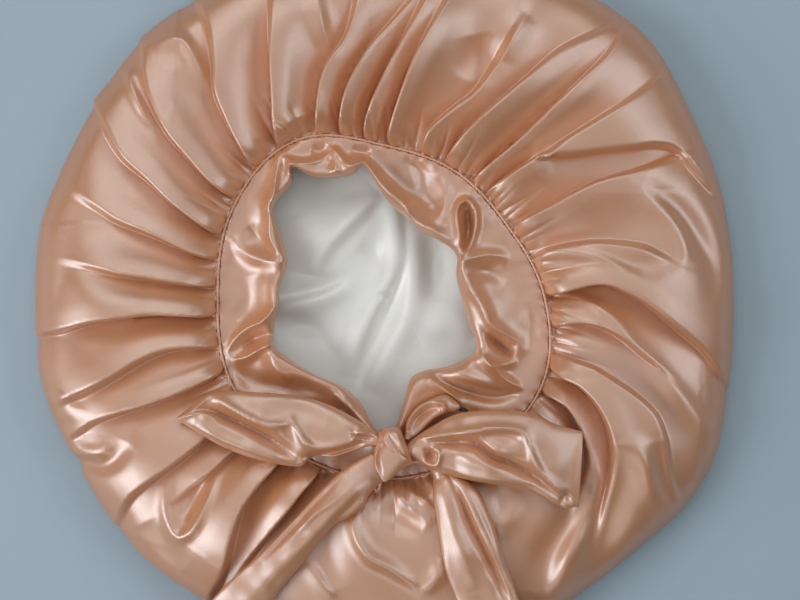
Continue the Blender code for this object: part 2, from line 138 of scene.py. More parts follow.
def ripple(seed, places, waves, low, high):
    """Gentle uneven waves of height about 1 over places of any dimension, the same each run."""
    random = np.random.default_rng(seed)
    total = np.zeros(places.shape[:-1])
    for _ in range(waves):
        way = random.normal(size=places.shape[-1])
        way *= random.uniform(low, high) / np.linalg.norm(way)
        total += np.cos(places @ way + random.uniform(0, 2 * math.pi))
    return total / math.sqrt(waves / 2)


# Folds drawn in the plan


def follow(places, path, reach):
    """Places within reach of a path: numbers, distance (above 0 on its left), share of the way, left normal."""
    low, high = path.min(0) - reach, path.max(0) + reach
    near = np.flatnonzero(((places > low) & (places < high)).all(1))
    spot = places[near]
    best = np.full(len(near), np.inf)
    side, along = np.zeros(len(near)), np.zeros(len(near))
    normal = np.zeros((len(near), 2))
    for k in range(len(path) - 1):
        way = path[k + 1] - path[k]
        offset = spot - path[k]
        share = np.clip(offset @ way / (way @ way), 0, 1)
        gap = offset - share[:, None] * way
        distance = (gap * gap).sum(1)
        closer = distance < best
        best[closer] = distance[closer]
        side[closer] = (way[0] * offset[:, 1] - way[1] * offset[:, 0])[closer]
        along[closer] = ((k + share) / (len(path) - 1))[closer]
        normal[closer] = np.array([-way[1], way[0]]) / np.linalg.norm(way)
    return near, np.sqrt(best) * np.where(side > 0, 1.0, -1.0), along, normal


def stroke_height(places, strokes):
    """Height that ridges and hollows add. Each dies out at both its ends.

    A stroke is (picture pixels, height mm, half width mm on its left, on its right, sharpness), where
    sharpness 0 is a rounded ridge and 1 a knife edge.
    """
    total = np.zeros(len(places))
    for pixels, height, left, right, sharp in strokes:
        path = spline(plan(pixels), 7 * len(pixels))
        near, distance, along, _ = follow(places, path, 3 * MM * max(left, right))
        away = np.abs(distance) / np.where(distance > 0, left * MM, right * MM)
        shape = (1 - sharp) * np.exp(-away * away) + sharp * np.exp(-1.6 * away)
        total[near] += height * MM * shape * np.sin(math.pi * np.clip(along, 0.02, 0.98)) ** 0.7
    return total


def pleat_relief(places, out, pleats, grow_out):
    """Height and sideways shift that gathers add.

    A pleat is (picture pixels of its crease from the seam outwards, drop mm, side, width, steepness). Its
    crest stands over the crease on one side (1 left, -1 right of the way out) and the cloth falls from it in a
    few millimetres. It rises again slowly on the crease's other side.
    """
    height = np.zeros(len(places))
    shift = np.zeros((len(places), 2))
    for pixels, drop, side, width, steep in pleats:
        route = plan(pixels)
        onwards = (route[-1] - route[-2]) / np.linalg.norm(route[-1] - route[-2])
        path = spline(np.vstack([route, route[-1] + TRAIL * onwards]), 9 * len(pixels) + 9)
        near, distance, along, normal = follow(places, path, 46 * MM)
        distance = distance * side
        spread = out[near]
        fall = (1.9 + 3.2 * spread) * MM * steep
        floor = (7.5 + 18 * spread) * MM * width
        back = (6.0 + 17 * spread) * MM * width
        valley = -0.55 * np.exp(-((np.maximum(-distance, 0) / floor) ** 1.5))
        step = fade(distance / fall)
        crest = 0.45 * np.exp(-((np.maximum(distance - fall, 0) / back) ** 1.4))
        shape = np.where(distance < 0, valley, valley * (1 - step) + crest * step)
        strength = FULLNESS * drop * MM * fade((1 - along) / 0.6)
        height[near] += strength * shape
        pull = np.exp(-(((distance - 0.9 * fall) / (1.1 * fall)) ** 2)) * strength
        shift[near] -= (grow_out * side * pull)[:, None] * normal
    return height, shift


# Meshes


def new_piece(name, points, faces, material):
    mesh = bpy.data.meshes.new(name)
    mesh.from_pydata(np.asarray(points, float).tolist(), [], faces)
    mesh.validate()
    mesh.shade_smooth()
    obj = bpy.data.objects.new(name, mesh)
    bpy.context.scene.collection.objects.link(obj)
    mesh.materials.append(material)
    return obj


def grid_faces(rows, columns, closed_rows=False, closed_columns=False, turned=False):
    """Quads of a grid of points numbered row by row."""
    i = np.arange(rows if closed_rows else rows - 1)[:, None]
    j = np.arange(columns if closed_columns else columns - 1)[None, :]
    below, right = (i + 1) % rows, (j + 1) % columns
    corners = [i * columns + j, i * columns + right, below * columns + right, below * columns + j]
    return np.stack(corners[::-1] if turned else corners, -1).reshape(-1, 4).tolist()


def thicken(obj, thickness):
    """Gives a sheet its real thickness, inwards."""
    solidify = obj.modifiers.new("thickness", "SOLIDIFY")
    solidify.thickness = thickness
    solidify.offset = -1.0
    bpy.context.view_layer.objects.active = obj
    bpy.ops.object.select_all(action="DESELECT")
    obj.select_set(True)
    bpy.ops.object.modifier_apply(modifier=solidify.name)


def tube(path, radii, sides, closed=False):
    """Points and quads of a round tube along a path."""
    path = np.asarray(path, float)
    way = np.roll(path, -1, 0) - np.roll(path, 1, 0) if closed else np.gradient(path, axis=0)
    way /= np.linalg.norm(way, axis=1, keepdims=True)
    side = np.cross(way, (0, 0, 1.0))
    side /= np.maximum(np.linalg.norm(side, axis=1, keepdims=True), 1e-9)
    up = np.cross(side, way)
    turn = np.arange(sides) * 2 * math.pi / sides
    ring = side[:, None] * np.cos(turn)[None, :, None] + up[:, None] * np.sin(turn)[None, :, None]
    radii = np.broadcast_to(np.asarray(radii, float), (len(path),))
    points = path[:, None] + ring * radii[:, None, None]
    return points.reshape(-1, 3), grid_faces(len(path), sides, closed, True, turned=True)


def dress(obj, slot, *nodes):
    """Hangs a finished piece on the bonnet in place of its plain solids."""
    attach(obj, "root")
    if nodes:
        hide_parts(*nodes)
    return obj


# Materials


def linear(hexadecimal):
    """Linear colour, with alpha 1, of an sRGB hex value."""
    values = [int(hexadecimal[k:k + 2], 16) / 255 for k in (0, 2, 4)]
    return (*(v / 12.92 if v <= 0.04045 else ((v + 0.055) / 1.055) ** 2.4 for v in values), 1.0)


def add_node(tree, kind, settings=None, inputs=None):
    """Adds a shader node, sets its settings, and sets or links its inputs."""
    node = tree.nodes.new(kind)
    for name, value in (settings or {}).items():
        setattr(node, name, value)
    for name, value in (inputs or {}).items():
        if isinstance(value, bpy.types.NodeSocket):
            tree.links.new(value, node.inputs[name])
        else:
            node.inputs[name].default_value = value
    return node


THREAD_SHOWN = 0.7 * MM  # satin threads lie 0.1 mm apart, too fine to show
SLUB_LENGTH = 11 * MM


def woven_satin(name, colour, deep, roughness):
    """Woven polyester satin: long warp floats lie side by side on its face.

    The eye sees broad soft highlights that break into fine bright grain, over a warm ground whose tone
    drifts a little with the slubs of the yarn.
    """
    material = bpy.data.materials.get(name)
    if material:
        return material
    material = bpy.data.materials.new(name)
    material.use_nodes = True
    tree = material.node_tree
    tree.nodes.clear()
    place = add_node(tree, "ShaderNodeTexCoord").outputs["Object"]
    thread = add_node(tree, "ShaderNodeTexNoise", None, {"Vector": place, "Scale": 1 / THREAD_SHOWN, "Detail": 2.0})
    slub = add_node(tree, "ShaderNodeTexNoise", None, {"Vector": place, "Scale": 1 / SLUB_LENGTH, "Detail": 3.0})
    tone = add_node(tree, "ShaderNodeMix", {"data_type": "RGBA"},
                    {"Factor": slub.outputs["Fac"], "A": (*colour, 1.0), "B": (*deep, 1.0)})
    rough = add_node(tree, "ShaderNodeMapRange", None,
                     {"Value": thread.outputs["Fac"], "From Min": 0.3, "From Max": 0.7,
                      "To Min": roughness - 0.08, "To Max": roughness + 0.08})
    bump = add_node(tree, "ShaderNodeBump", None,
                    {"Height": thread.outputs["Fac"], "Strength": 0.30, "Distance": 0.15 * MM})
    shader = add_node(tree, "ShaderNodeBsdfPrincipled", None,
                      {"Base Color": tone.outputs["Result"], "Roughness": rough.outputs["Result"],
                       "Normal": bump.outputs["Normal"]})
    # Polyester's own IOR is 1.57; the close bright floats reflect more than a smooth film would
    shader.inputs["IOR"].default_value = 2.2
    shader.inputs["Specular IOR Level"].default_value = 1.0
    add_node(tree, "ShaderNodeOutputMaterial", None, {"Surface": shader.outputs["BSDF"]})
    return material


def peach_satin():
    colours = bpy.context.scene.bonnet_colours
    return woven_satin("peach_woven_satin", colours.satin, colours.satin_deep, 0.41)


def cream_satin():
    colours = bpy.context.scene.bonnet_colours
    return woven_satin("cream_woven_satin", colours.lining, colours.lining_deep, 0.52)


def stitch_thread():
    """Spun polyester sewing thread: matt, a shade lighter than the satin."""
    material = bpy.data.materials.new("spun_polyester_thread")
    material.use_nodes = True
    tree = material.node_tree
    place = add_node(tree, "ShaderNodeTexCoord").outputs["Object"]
    twist = add_node(tree, "ShaderNodeTexNoise", None, {"Vector": place, "Scale": 1 / (0.5 * MM), "Detail": 2.0})
    tone = add_node(tree, "ShaderNodeMix", {"data_type": "RGBA"},
                    {"Factor": twist.outputs["Fac"], "A": linear("F3C3A2"), "B": linear("E6A681")})
    shader = tree.nodes["Principled BSDF"]
    tree.links.new(tone.outputs["Result"], shader.inputs["Base Color"])
    shader.inputs["Roughness"].default_value = 0.6
    return material


def dark_ribbed_strip():
    """Dark matt strip with close ribs along its length, set in the dark slit at the turned-up band end."""
    material = bpy.data.materials.new("dark_ribbed_strip")
    material.use_nodes = True
    tree = material.node_tree
    place = add_node(tree, "ShaderNodeTexCoord").outputs["Object"]
    rib = add_node(tree, "ShaderNodeTexWave", None, {"Vector": place, "Scale": 1 / (7 * MM), "Distortion": 1.5})
    bump = add_node(tree, "ShaderNodeBump", None,
                    {"Height": rib.outputs["Fac"], "Strength": 0.5, "Distance": 0.2 * MM})
    tone = add_node(tree, "ShaderNodeMix", {"data_type": "RGBA"},
                    {"Factor": rib.outputs["Fac"], "A": linear("2B2422"), "B": linear("4A3E39")})
    shader = tree.nodes["Principled BSDF"]
    tree.links.new(tone.outputs["Result"], shader.inputs["Base Color"])
    tree.links.new(bump.outputs["Normal"], shader.inputs["Normal"])
    shader.inputs["Roughness"].default_value = 0.7
    return material


# Outlines


# Seam radius every 30 degrees, as a share of SEAM_RADIUS
SEAM_OUTLINE = (0.965, 0.855, 0.864, 0.907, 1.075, 1.050, 1.000, 1.058, 1.080, 1.100, 1.093, 1.093)
# Outer edge every 15 degrees, as a share of CROWN_RADIUS
CROWN_OUTLINE = (
    0.990, 1.000, 1.010, 1.045, 1.030, 1.005, 1.000, 0.995, 0.995, 1.005, 0.995, 0.995,
    0.988, 1.000, 0.990, 1.005, 1.000, 1.000, 1.000, 1.000, 1.010, 1.015, 1.048, 1.010,
)


def seam_radius(degrees):
    return SEAM_RADIUS * even_table(SEAM_OUTLINE, degrees)


def rim_radius(degrees):
    return CROWN_RADIUS * even_table(CROWN_OUTLINE, degrees)


def directions(count):
    """Angles round the bonnet, and their unit vectors."""
    degrees = np.arange(count) * 360 / count
    turn = np.radians(degrees)
    return degrees, np.stack([np.cos(turn), np.sin(turn)], -1)


# Crown


# Crown section: share of the way from seam to rim, height in shares of CROWN_TOP
CROWN_RISE = (
    (0.00, 0.66), (0.02, 0.74), (0.06, 0.83), (0.14, 0.91), (0.30, 0.97), (0.50, 0.98),
    (0.70, 0.93), (0.84, 0.80), (0.93, 0.62), (0.98, 0.40), (1.00, 0.24),
)  # fmt: skip
CROWN_UNDER = ((0.992, 0.11), (0.965, 0.03), (0.90, 0.0), (0.50, 0.0), (0.0, 0.0))
# Gathers: picture pixels of the crease from the seam out, drop mm, crest side, width, steepness
PLEATS = (
    (((520, 262), (545, 250), (570, 243), (600, 240), (640, 243), (664, 252)), 5, -1, 1.0, 1.3),
    (((505, 232), (550, 208), (593, 184), (637, 169), (676, 153)), 10, -1, 1.1, 1.0),
    (((556, 158), (600, 152), (630, 149), (656, 146), (676, 151), (694, 170), (714, 194)), 7, 1, 0.8, 0.9),
    (((478, 198), (522, 167), (559, 143), (600, 117), (637, 91), (668, 64)), 7, -1, 0.9, 0.9),
    (((465, 187), (513, 147), (546, 115), (585, 76), (609, 50), (632, 10)), 8, -1, 0.7, 0.6),
    (((440, 168), (470, 130), (500, 102), (530, 75), (560, 48), (598, 26)), 11, -1, 1.0, 1.1),
    (((416, 159), (424, 140), (433, 126), (455, 107), (474, 92), (490, 68), (507, 34)), 11, -1, 1.3, 1.5),
    (((387, 153), (392, 128), (402, 95), (414, 62), (425, 38), (442, 2)), 11, -1, 0.8, 0.9),
    (((363, 146), (370, 112), (381, 85), (393, 60), (408, 30), (424, -4)), 11, -1, 0.8, 0.9),
    (((339, 145), (344, 105), (352, 80), (371, 47), (392, 20), (412, -6)), 11, -1, 0.8, 0.9),
    (((315, 146), (318, 110), (322, 80), (330, 60), (345, 38), (352, 12), (354, -14)), 10, -1, 0.9, 0.9),
    (((281, 152), (276, 120), (275, 100), (272, 60), (270, 20), (268, -14)), 13, -1, 1.2, 0.9),
    (((262, 173), (250, 160), (238, 141), (226, 118), (215, 92), (212, 62), (204, 28), (192, 4)), 11, -1, 1.3, 1.2),
    (((232, 196), (210, 180), (188, 157), (167, 133), (150, 104), (139, 78), (134, 52)), 10, -1, 1.2, 1.1),
    (((228, 240), (200, 222), (170, 200), (146, 178), (120, 157), (100, 128), (86, 108)), 11, -1, 1.2, 1.1),
    (((224, 262), (190, 252), (163, 240), (143, 232), (114, 222), (96, 212)), 8, -1, 1.1, 1.1),
    (((222, 287), (184, 284), (150, 279), (120, 276), (96, 272)), 8, -1, 1.0, 1.1),
    (((222, 314), (180, 312), (150, 312), (118, 316), (90, 322), (60, 332), (30, 338)), 14, -1, 1.0, 0.9),
    (((222, 349), (195, 347), (165, 351), (140, 362), (115, 378), (85, 396), (50, 412)), 9, -1, 1.1, 1.3),
    (((228, 368), (202, 381), (176, 393), (142, 406), (116, 415), (95, 424), (78, 436)), 10, -1, 1.0, 0.9),
    (((235, 410), (202, 442), (176, 464), (150, 484), (133, 500), (120, 522)), 8, -1, 1.3, 1.1),
    (((262, 430), (231, 454), (215, 470), (200, 484)), 6, -1, 0.8, 1.0),
    (((290, 445), (272, 466), (252, 490), (238, 515), (231, 545), (225, 572), (212, 604)), 13, -1, 1.1, 1.1),
    (((345, 446), (317, 472), (300, 490), (287, 508), (275, 525), (260, 548)), 12, -1, 1.0, 0.9),
    (((538, 298), (569, 287), (602, 281), (627, 290), (646, 301), (675, 325), (704, 352), (724, 380)), 13, 1, 1.1, 0.8),
    (((545, 330), (575, 322), (600, 326), (622, 338), (644, 358)), 9, 1, 0.9, 1.0),
    (((545, 350), (575, 362), (593, 368), (617, 382), (640, 398), (657, 415), (667, 440), (676, 480), (690, 508)),
     7, -1, 1.0, 0.9),
    (((543, 362), (562, 374), (581, 384), (600, 406), (612, 435), (612, 470), (600, 515)), 13, 1, 1.0, 0.9),
    (((535, 390), (552, 396), (570, 408), (583, 435), (588, 460), (580, 482)), 10, 1, 0.8, 0.9),
)
# Folds that don't start at the seam: picture pixels, height mm, half width mm left, right, sharpness
CROWN_STROKES = (
    (((284, 134), (290, 124), (303, 115), (316, 110)), 2.5, 3.0, 3.0, 0.3),
    (((316, -12), (321, 20), (328, 44), (336, 56)), 3.0, 4.0, 5.0, 0.3),
    (((150, 44), (180, 38), (198, 66), (213, 98)), 4.0, 4.0, 6.0, 0.4),
    (((120, 58), (130, 85), (143, 112), (160, 132)), 3.0, 2.5, 3.0, 0.4),
    (((470, 80), (480, 56), (476, 34)), -4.0, 9.0, 9.0, 0.0),
    (((500, 60), (512, 36), (530, 14)), 3.0, 8.0, 8.0, 0.0),
    (((541, 276), (541, 262), (550, 255), (570, 254), (600, 259), (632, 272)), 3.5, 3.0, 4.0, 0.3),
    (((562, 326), (562, 306), (570, 298), (585, 300), (615, 318), (642, 346)), 3.5, 3.0, 3.5, 0.3),
    (((600, 328), (640, 352), (672, 386), (700, 420), (716, 446)), 3.5, 5.0, 8.0, 0.1),
    (((640, 186), (668, 203), (692, 228), (712, 262), (716, 304)), -4.0, 7.0, 6.0, 0.0),
    (((640, 190), (672, 218), (686, 244), (682, 268)), 3.0, 4.0, 5.0, 0.1),
    (((566, 262), (600, 262), (650, 266), (684, 258)), -2.0, 5.0, 5.0, 0.0),
    (((60, 462), (90, 467), (108, 463), (122, 450), (128, 442)), -5.0, 6.0, 5.0, 0.1),
    (((56, 432), (76, 452), (98, 454), (112, 446)), 3.0, 4.0, 5.0, 0.2),
    (((150, 292), (100, 290), (60, 280)), 2.5, 11.0, 11.0, 0.0),
    (((66, 392), (60, 404), (62, 424)), 3.0, 9.0, 9.0, 0.0),
    (((168, 480), (164, 502), (168, 524), (178, 537), (192, 530), (202, 511), (212, 486), (220, 466)),
     3.5, 3.0, 3.0, 0.3),
    (((184, 520), (194, 500), (204, 482)), -4.0, 4.0, 4.0, 0.1),
    (((146, 520), (156, 538), (170, 556), (186, 566)), -3.0, 8.0, 8.0, 0.0),
    (((361, 508), (354, 524), (358, 541), (370, 557), (387, 566), (405, 578), (421, 590)), 5.0, 5.0, 3.5, 0.4),
    (((421, 592), (436, 578), (442, 556)), 3.0, 4.0, 4.0, 0.1),
    (((385, 480), (404, 501), (436, 526)), 2.4, 2.8, 4.0, 0.1),
    (((386, 477), (413, 493), (434, 510)), 3.0, 2.5, 3.0, 0.2),
    (((378, 506), (396, 520), (424, 532)), -3.0, 8.0, 6.0, 0.0),
    (((396, 482), (414, 487), (430, 496)), -3.0, 5.0, 4.0, 0.0),
    (((330, 520), (326, 550), (336, 590)), -2.5, 8.0, 8.0, 0.0),
    (((308, 561), (320, 580), (335, 600)), 2.5, 2.5, 5.0, 0.4),
    (((484, 480), (489, 510), (500, 522), (511, 512), (518, 488)), 2.6, 5.0, 6.0, 0.0),
    (((575, 470), (590, 502), (567, 533), (548, 559), (536, 598)), -6.0, 8.0, 9.0, 0.0),
    (((608, 440), (596, 495), (578, 532), (563, 569), (555, 600)), 5.0, 7.0, 5.0, 0.1),
    (((620, 440), (618, 490), (602, 540), (584, 580)), -5.0, 9.0, 9.0, 0.0),
    (((624, 435), (644, 462), (656, 490), (674, 516)), 4.0, 6.0, 7.0, 0.1),
    (((655, 440), (663, 484), (678, 512)), -4.0, 4.0, 5.0, 0.1),
)
FULLNESS = 1.35  # how far the cloth between two creases billows over its plain section
TRAIL = 26 * MM  # way past its drawn end over which a crease dies out towards the rim
NOTCH_SHARE = 0.9  # how far the rim draws in, as a share of a pleat's depth there
LEAN = 0.22  # how far crests lean over their creases, as a share of their drop
SEAM_EASE = 2.6 * MM  # way over which gathers reach their depth
LOWEST_SHARE = 0.45  # a crease takes at most this share of the height that the cloth has


def puckers(degrees, distance):
    """Depth of the small stitched gathers along the seam."""
    random = np.random.default_rng(7)
    total = np.zeros_like(degrees)
    angle = 0.0
    while angle < 360:
        width = random.uniform(0.7, 1.5)
        reach = random.uniform(5, 20) * MM
        depth = random.uniform(0.7, 2.4) * MM
        bend = random.uniform(-2.5, 2.5)
        away = np.abs(np.mod(degrees - angle - bend * distance / (30 * MM) + 180, 360) - 180) / width
        total += depth * np.exp(-1.3 * away) * np.exp(-((distance / reach) ** 2))
        angle += random.uniform(1.9, 4.0)
    return total * fade(distance / (1.2 * MM))


def crown_section(count):
    """Share of the way from the seam and height of the plain section, from seam over the rim to the middle."""
    section = spline(np.array(CROWN_RISE + CROWN_UNDER) * (1.0, CROWN_TOP / (98 * MM)), 600)
    rim = int(np.argmax(section[:, 0]))
    top = count * 9 // 10
    places = np.concatenate([np.linspace(0, 1, top) ** 1.12 * (rim + 30),
                             np.linspace(rim + 42, 599, count - top)])
    out = np.interp(places, np.arange(600), section[:, 0])
    height = np.interp(places, np.arange(600), section[:, 1]) * 98 * MM
    return out, height, np.clip((places - rim) / 22, 0, 1)


def make_crown(material):
    """The bag of the bonnet: one layer of satin gathered on the seam, over the rim and flat under it."""
    sizes = bpy.context.scene.bonnet_sizes
    columns, count = 1000, 98
    degrees, way = directions(columns)
    out, height, under = (values[:, None] for values in crown_section(count))
    seam = seam_radius(degrees) + 0.6 * CORD_RADIUS
    rim = rim_radius(degrees)
    radius = seam + (rim - seam) * out
    radius = np.where(under >= 1, radius * np.clip(out / 0.9, 0, 1), radius)
    places = (radius[..., None] * way).reshape(-1, 2)
    share = np.broadcast_to(out, radius.shape).reshape(-1)
    relief, shift = pleat_relief(places, share, PLEATS, LEAN)
    strokes = stroke_height(places, CROWN_STROKES)
    distance = np.maximum(radius - seam, 0)
    grow = 1 - np.exp(-distance / SEAM_EASE)
    relief = relief.reshape(radius.shape) * grow * sizes.fold_depth
    shift = shift.reshape(*radius.shape, 2) * (grow * (1 - under))[..., None]
    strokes = strokes.reshape(radius.shape)
    waves = 0.9 * MM * ripple(3, places / (26 * MM), 16, 0.5, 1.5).reshape(radius.shape)
    waves += 0.22 * MM * ripple(5, places / (7 * MM), 18, 0.5, 1.6).reshape(radius.shape)
    total = relief + strokes + waves * fade(out / 0.2) * sizes.wrinkles
    drawn = NOTCH_SHARE * np.minimum(total, 0) * fade((out - 0.82) / 0.18) * (1 - under)
    room = np.maximum(height, 0.001)
    total = np.where(total < 0, -LOWEST_SHARE * room * np.tanh(-total / (LOWEST_SHARE * room)),
                     total * fade(height / (22 * MM)))
    z = height + total * (1 - under) - puckers(np.broadcast_to(degrees, radius.shape), distance) * (1 - under)
    z[0] = SEAM_HEIGHT + 0.9 * MM * np.sin(np.radians(degrees) * 88)
    flat = places.reshape(*radius.shape, 2) * (1 + drawn / radius)[..., None] + shift
    points = np.concatenate([flat, np.maximum(z, 0)[..., None]], -1)[:-1].reshape(-1, 3)
    rows = count - 1
    faces = grid_faces(rows, columns, closed_columns=True, turned=True)
    last = (rows - 1) * columns
    faces += [(last + k, len(points), last + (k + 1) % columns) for k in range(columns)]
    points = np.vstack([points, [[0, 0, 0]]])
    return new_piece("crown_satin", points, faces, material)


# Lining


# Soft folds: picture pixels, height mm, half width mm left, right, sharpness
LINING_STROKES = (
    (((381, 190), (352, 218), (330, 241), (319, 260), (315, 278)), 5.0, 3.5, 9.0, 0.2),
    (((356, 246), (371, 256), (386, 258)), -2.4, 8.0, 8.0, 0.0),
    (((389, 188), (399, 236), (398, 265), (386, 290), (368, 322), (348, 384)), 4.0, 5.0, 6.5, 0.0),
    (((403, 210), (405, 256), (393, 295), (374, 338), (357, 390)), -3.0, 4.0, 4.0, 0.0),
    (((412, 214), (413, 277), (408, 314), (391, 350), (367, 396)), 3.8, 7.0, 5.0, 0.0),
    (((268, 309), (298, 304), (322, 297), (352, 283)), 3.6, 4.0, 6.0, 0.1),
    (((270, 298), (316, 288), (344, 277)), -3.0, 3.5, 3.5, 0.1),
    (((270, 330), (300, 328), (340, 340)), -2.0, 9.0, 9.0, 0.0),
    (((431, 226), (437, 262), (434, 304)), -3.2, 10.0, 10.0, 0.0),
    (((415, 336), (446, 322), (476, 336)), 3.0, 10.0, 10.0, 0.0),
    (((296, 210), (308, 245), (306, 275)), 2.6, 9.0, 9.0, 0.0),
    (((330, 350), (352, 330), (366, 308)), 1.6, 10.0, 10.0, 0.0),
)
# The lining's upper side: share of the way out from the seam, height as a share of the seam's. It stays under
# the deepest creases of the crown and ends below the band
LINING_CEILING = (
    (0.80, 0.13), (0.84, 0.22), (0.84, 0.36), (0.78, 0.48), (0.60, 0.54), (0.30, 0.54), (0.10, 0.54),
    (-0.03, 0.80),
)  # fmt: skip


def make_lining(material):
    """The lining's folded floor, and its upper side under the gathers as far as the seam."""
    columns, count = 420, 96
    degrees, way = directions(columns)
    seam = seam_radius(degrees)
    reach = rim_radius(degrees) - seam
    radius = (0.02 + 0.98 * np.linspace(0, 1, count) ** 1.1)[:, None] * (seam + 0.78 * reach)
    places = (radius[..., None] * way).reshape(-1, 2)
    height = stroke_height(places, LINING_STROKES) + 0.7 * MM * ripple(21, places / (18 * MM), 16, 0.6, 1.6)
    settle = fade((1.0 - np.linspace(0, 1, count)) / 0.3)[:, None]
    height = LINING_FLOOR + np.maximum(height.reshape(radius.shape) * settle + 2.2 * MM, 0)
    rings = [np.concatenate([places.reshape(*radius.shape, 2), height[..., None]], -1)]
    for out, share in LINING_CEILING:
        ring = (seam + out * reach)[:, None] * way
        rings.append(np.concatenate([ring, np.full((columns, 1), share * SEAM_HEIGHT)], -1)[None])
    points = np.vstack([ring.reshape(-1, 3) for ring in rings])
    faces = grid_faces(len(points) // columns, columns, closed_columns=True)
    faces += [((k + 1) % columns, k, len(points)) for k in range(columns)]
    points = np.vstack([points, [[0, 0, points[0, 2]]]])
    obj = new_piece("lining_satin", points, faces, material)
    thicken(obj, 0.4 * MM)
    return obj


# Band


# Free edge of the band: angle, radius as a share of SEAM_RADIUS
BAND_EDGE = (
    (0, 0.465), (16, 0.453), (30, 0.50), (45, 0.471), (60, 0.453), (75, 0.494), (84, 0.541),
    (92, 0.634), (97, 0.756), (99, 0.79), (104, 0.756), (110, 0.762), (118, 0.802), (122, 0.860),
    (125.5, 0.95), (128.5, 0.884), (134, 0.862), (142, 0.845), (149, 0.721), (160, 0.616), (175, 0.628),
    (186, 0.633), (195, 0.68), (205, 0.721), (213, 0.686), (227, 0.633), (245, 0.60), (258, 0.66),
    (271, 0.84), (282, 0.62), (288, 0.523), (299, 0.512), (308, 0.55), (317, 0.593), (323, 0.621),
    (330, 0.64), (343, 0.53),
)  # fmt: skip
# Band section: share of the way from seam to free edge, height over the seam in mm
BAND_SECTION = (
    (0.00, 0.0), (0.06, 0.4), (0.20, 0.6), (0.42, 1.2), (0.60, 2.6), (0.76, 5.4), (0.87, 6.6),
    (0.95, 5.0), (1.00, 1.0), (0.99, -2.6), (0.95, -5.5), (0.90, -7.5),
)  # fmt: skip
# Ridges and puckers: picture pixels, height mm, half width mm left, right, sharpness
BAND_STROKES = (
    (((279, 153), (275, 182), (271, 214)), 5.0, 2.2, 4.0, 0.5),
    (((292, 164), (290, 190), (278, 210)), -3.0, 3.0, 3.0, 0.2),
    (((270, 210), (270, 236), (277, 250), (290, 263)), 4.0, 2.5, 3.5, 0.4),
    (((230, 236), (243, 251), (262, 260), (290, 263)), 4.5, 4.0, 4.0, 0.3),
    (((248, 224), (260, 240), (276, 254)), -3.0, 3.5, 3.5, 0.2),
    (((244, 275), (248, 300), (240, 325)), -2.5, 6.0, 6.0, 0.0),
    (((288, 264), (277, 284), (275, 306), (264, 320), (246, 329), (233, 341), (227, 352), (234, 360)),
     6.0, 2.2, 3.2, 0.5),
    (((230, 361), (246, 357), (262, 348), (274, 345), (280, 356)), 5.0, 2.5, 2.5, 0.5),
    (((240, 348), (254, 339), (272, 333)), -6.0, 2.4, 2.4, 0.3),
    (((270, 346), (274, 366), (292, 384)), 4.0, 4.0, 4.0, 0.2),
    (((279, 155), (302, 163), (320, 159), (334, 146)), 5.0, 2.6, 3.0, 0.5),
    (((332, 146), (347, 164), (358, 164), (367, 159)), 5.0, 2.6, 2.6, 0.5),
    (((333, 144), (335, 162), (335, 176)), 3.5, 2.6, 2.6, 0.3),
    (((310, 150), (322, 150), (328, 144)), -3.0, 3.0, 3.0, 0.0),
    (((350, 148), (362, 152), (372, 150)), -3.0, 3.0, 3.0, 0.0),
    (((364, 158), (378, 178), (389, 191), (404, 204), (413, 220), (436, 233), (461, 256)), 5.0, 2.4, 4.0, 0.5),
    (((372, 150), (392, 176), (416, 196), (442, 214)), -3.0, 5.0, 5.0, 0.0),
    (((417, 150), (422, 178), (430, 206)), -3.0, 4.5, 4.5, 0.0),
    (((440, 172), (446, 196), (440, 226)), 2.5, 4.0, 4.0, 0.1),
    (((462, 258), (459, 234), (457, 210), (466, 200), (475, 209), (476, 226), (469, 248), (462, 262)),
     6.0, 2.0, 2.0, 0.5),
    (((463, 252), (469, 232), (467, 208)), -8.0, 2.2, 2.2, 0.4),
    (((456, 263), (480, 256), (496, 255), (512, 258)), 4.0, 3.5, 4.5, 0.3),
    (((470, 272), (492, 272), (508, 282)), -2.5, 4.0, 4.0, 0.0),
    (((458, 258), (470, 286), (482, 306), (490, 324), (508, 336), (519, 344), (515, 358)), 5.5, 4.0, 2.4, 0.5),
    (((486, 334), (500, 346), (514, 358)), -7.0, 2.4, 2.4, 0.4),
    (((528, 300), (536, 326), (530, 352)), -2.0, 5.0, 5.0, 0.0),
    (((478, 350), (491, 366), (504, 378), (524, 390)), 5.0, 2.5, 3.0, 0.5),
    (((518, 358), (508, 364), (494, 366), (482, 362)), 3.5, 2.5, 2.5, 0.4),
    (((430, 375), (454, 387), (491, 398), (522, 393)), -6.0, 3.0, 3.0, 0.2),
    (((424, 376), (440, 386), (462, 404)), 4.0, 2.5, 2.5, 0.5),
    (((450, 366), (470, 378), (500, 386)), 3.0, 4.0, 4.0, 0.1),
    (((272, 346), (290, 362), (316, 376), (341, 388), (360, 408)), 5.0, 2.5, 4.0, 0.4),
    (((230, 372), (260, 384), (300, 388), (336, 396)), -4.0, 5.0, 5.0, 0.0),
    (((334, 392), (350, 408), (366, 428)), 3.5, 2.5, 2.5, 0.4),
)


